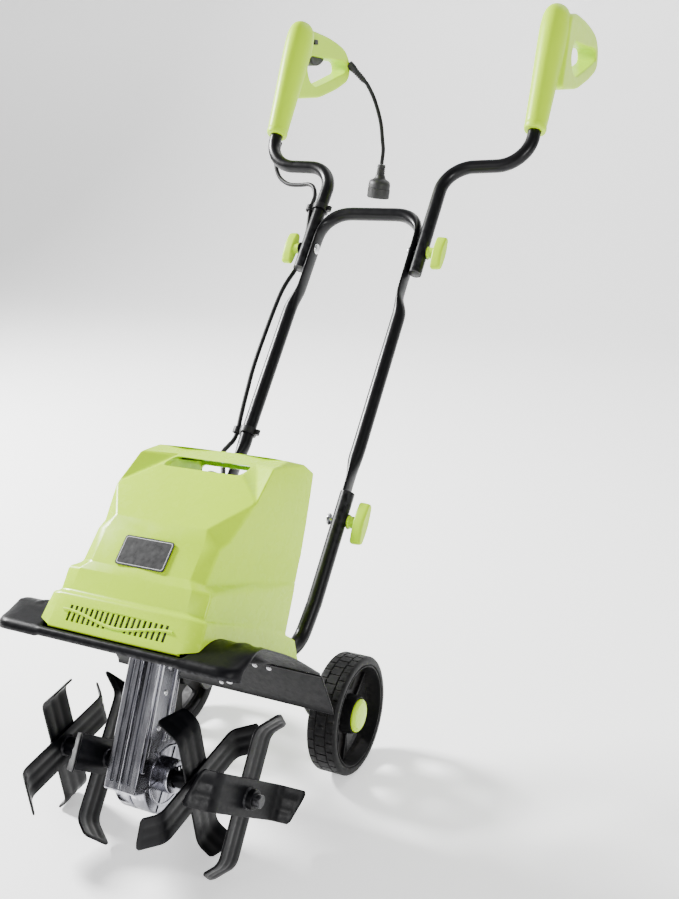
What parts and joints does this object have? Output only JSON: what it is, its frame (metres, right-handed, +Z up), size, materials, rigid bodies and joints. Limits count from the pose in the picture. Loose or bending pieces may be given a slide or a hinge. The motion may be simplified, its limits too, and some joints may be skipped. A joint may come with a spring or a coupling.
{
  "type": "electric tiller",
  "caption": "Corded garden tiller: angled motor head under a ribbed hood, crossed folded-tip tines, small rear wheels and a folding two-grip handle.",
  "frame": {"origin": "centre of the footprint of the machine without its free lead, on the floor", "axes": "+Z up, -Y forward (the tine end), +X to the side of the plain grip"},
  "size_m": [0.489, 1.1148, 1.0046],
  "materials": {
    "lime_plastic": "gloss",
    "black_plastic": "matte",
    "black_paint": "satin",
    "cast_aluminium": "satin",
    "steel": "brushed",
    "bronze": "satin",
    "wheel_plastic": "matte",
    "rubber": "matte",
    "cable": "satin"
  },
  "bodies": {
    "chassis": {"hood": "lime_plastic", "label_plate": "black_plastic", "fender": "black_paint", "rear_guard": "black_paint", "gearbox_left": "cast_aluminium", "gearbox_right": "cast_aluminium", "shaft_bearing_left": "steel", "shaft_bearing_right": "steel", "oil_seal_left": "rubber", "oil_seal_right": "rubber", "motor_flange": "black_paint", "motor_case": "steel", "stator_core": "steel", "motor_bearing_lower": "steel", "motor_bearing_upper": "steel", "lower_tube_left": "black_paint", "lower_tube_right": "black_paint", "tube_clamp": "black_paint", "wheel_arm_left": "black_paint", "wheel_arm_right": "black_paint", "wheel_axle": "steel", "bolt_lower_left": "steel", "bolt_lower_right": "steel", "motor_cable_head": "cable"},
    "tines": {"tine_shaft": "steel", "worm_wheel": "bronze", "tine_outer_left": "black_paint", "tine_inner_left": "black_paint", "tine_inner_right": "black_paint", "tine_outer_right": "black_paint", "tine_pin_left": "steel", "tine_pin_right": "steel"},
    "motor_rotor": {"rotor": "bronze", "worm_shaft": "steel", "cooling_fan": "black_plastic"},
    "wheel_left": {"wheel_left": "wheel_plastic", "wheel_cap_left": "lime_plastic"},
    "wheel_right": {"wheel_right": "wheel_plastic", "wheel_cap_right": "lime_plastic"},
    "middle_handle": {"middle_tube": "black_paint", "bolt_upper_left": "steel", "bolt_upper_right": "steel", "cable_clip_lower": "black_plastic", "motor_cable_middle": "cable"},
    "upper_handle_left": {"upper_tube_left": "black_paint", "grip_left": "lime_plastic", "switch_block": "black_plastic", "cable_clip_upper": "black_plastic", "motor_cable_upper": "cable", "strain_relief": "black_plastic", "pigtail_cord": "cable", "plug": "rubber"},
    "upper_handle_right": {"upper_tube_right": "black_paint", "grip_right": "lime_plastic"},
    "trigger": {"trigger": "black_plastic"},
    "lock_button": {"lock_button": "black_plastic"},
    "knob_upper_left": {"knob_upper_left": "lime_plastic"},
    "knob_upper_right": {"knob_upper_right": "lime_plastic"},
    "knob_lower_left": {"knob_lower_left": "lime_plastic"},
    "knob_lower_right": {"knob_lower_right": "lime_plastic"}
  },
  "joints": [
    {"name": "tine_spin", "type": "hinge", "parent": "chassis", "child": "tines", "pos_m": [0, -0.445, 0.094], "axis": [1, 0, 0], "continuous": true},
    {"name": "rotor_spin", "type": "hinge", "parent": "chassis", "child": "motor_rotor", "pos_m": [0, -0.47944, 0.11006], "axis": [0, 0.4226, 0.9063], "continuous": true},
    {"name": "wheel_left_spin", "type": "hinge", "parent": "chassis", "child": "wheel_left", "pos_m": [-0.1355, -0.2016, 0.0784], "axis": [1, 0, 0], "continuous": true},
    {"name": "wheel_right_spin", "type": "hinge", "parent": "chassis", "child": "wheel_right", "pos_m": [0.1355, -0.2016, 0.0784], "axis": [1, 0, 0], "continuous": true},
    {"name": "middle_fold", "type": "hinge", "parent": "chassis", "child": "middle_handle", "pos_m": [0, -0.149, 0.326], "axis": [1, 0, 0], "range_deg": [-35, 45], "deforming": ["motor_cable_head"]},
    {"name": "upper_fold_left", "type": "hinge", "parent": "middle_handle", "child": "upper_handle_left", "pos_m": [-0.0955, 0.1388, 0.649], "axis": [1, 0, 0], "range_deg": [-20, 100]},
    {"name": "upper_fold_right", "type": "hinge", "parent": "middle_handle", "child": "upper_handle_right", "pos_m": [0.0955, 0.1388, 0.649], "axis": [1, 0, 0], "range_deg": [-20, 100]},
    {"name": "trigger_pull", "type": "hinge", "parent": "upper_handle_left", "child": "trigger", "pos_m": [-0.2285, 0.4035, 0.96], "axis": [1, 0, 0], "range_deg": [0, 5], "stiffness_Nm_per_rad": 1, "springref_deg": -5.73},
    {"name": "lock_press", "type": "slide", "parent": "upper_handle_left", "child": "lock_button", "axis": [-1, 0, 0], "range_m": [0, 0.0015], "stiffness_N_per_m": 800, "springref_m": -0.001},
    {"name": "knob_upper_left_turn", "type": "hinge", "parent": "middle_handle", "child": "knob_upper_left", "pos_m": [-0.116, 0.1388, 0.649], "axis": [1, 0, 0], "continuous": true},
    {"name": "knob_upper_right_turn", "type": "hinge", "parent": "middle_handle", "child": "knob_upper_right", "pos_m": [0.116, 0.1388, 0.649], "axis": [1, 0, 0], "continuous": true},
    {"name": "knob_lower_left_turn", "type": "hinge", "parent": "chassis", "child": "knob_lower_left", "pos_m": [-0.125, -0.149, 0.326], "axis": [1, 0, 0], "continuous": true},
    {"name": "knob_lower_right_turn", "type": "hinge", "parent": "chassis", "child": "knob_lower_right", "pos_m": [0.125, -0.149, 0.326], "axis": [1, 0, 0], "continuous": true}
  ],
  "couplings": [
    {"joint": "rotor_spin", "follows": "tine_spin", "ratio": 30}
  ]
}
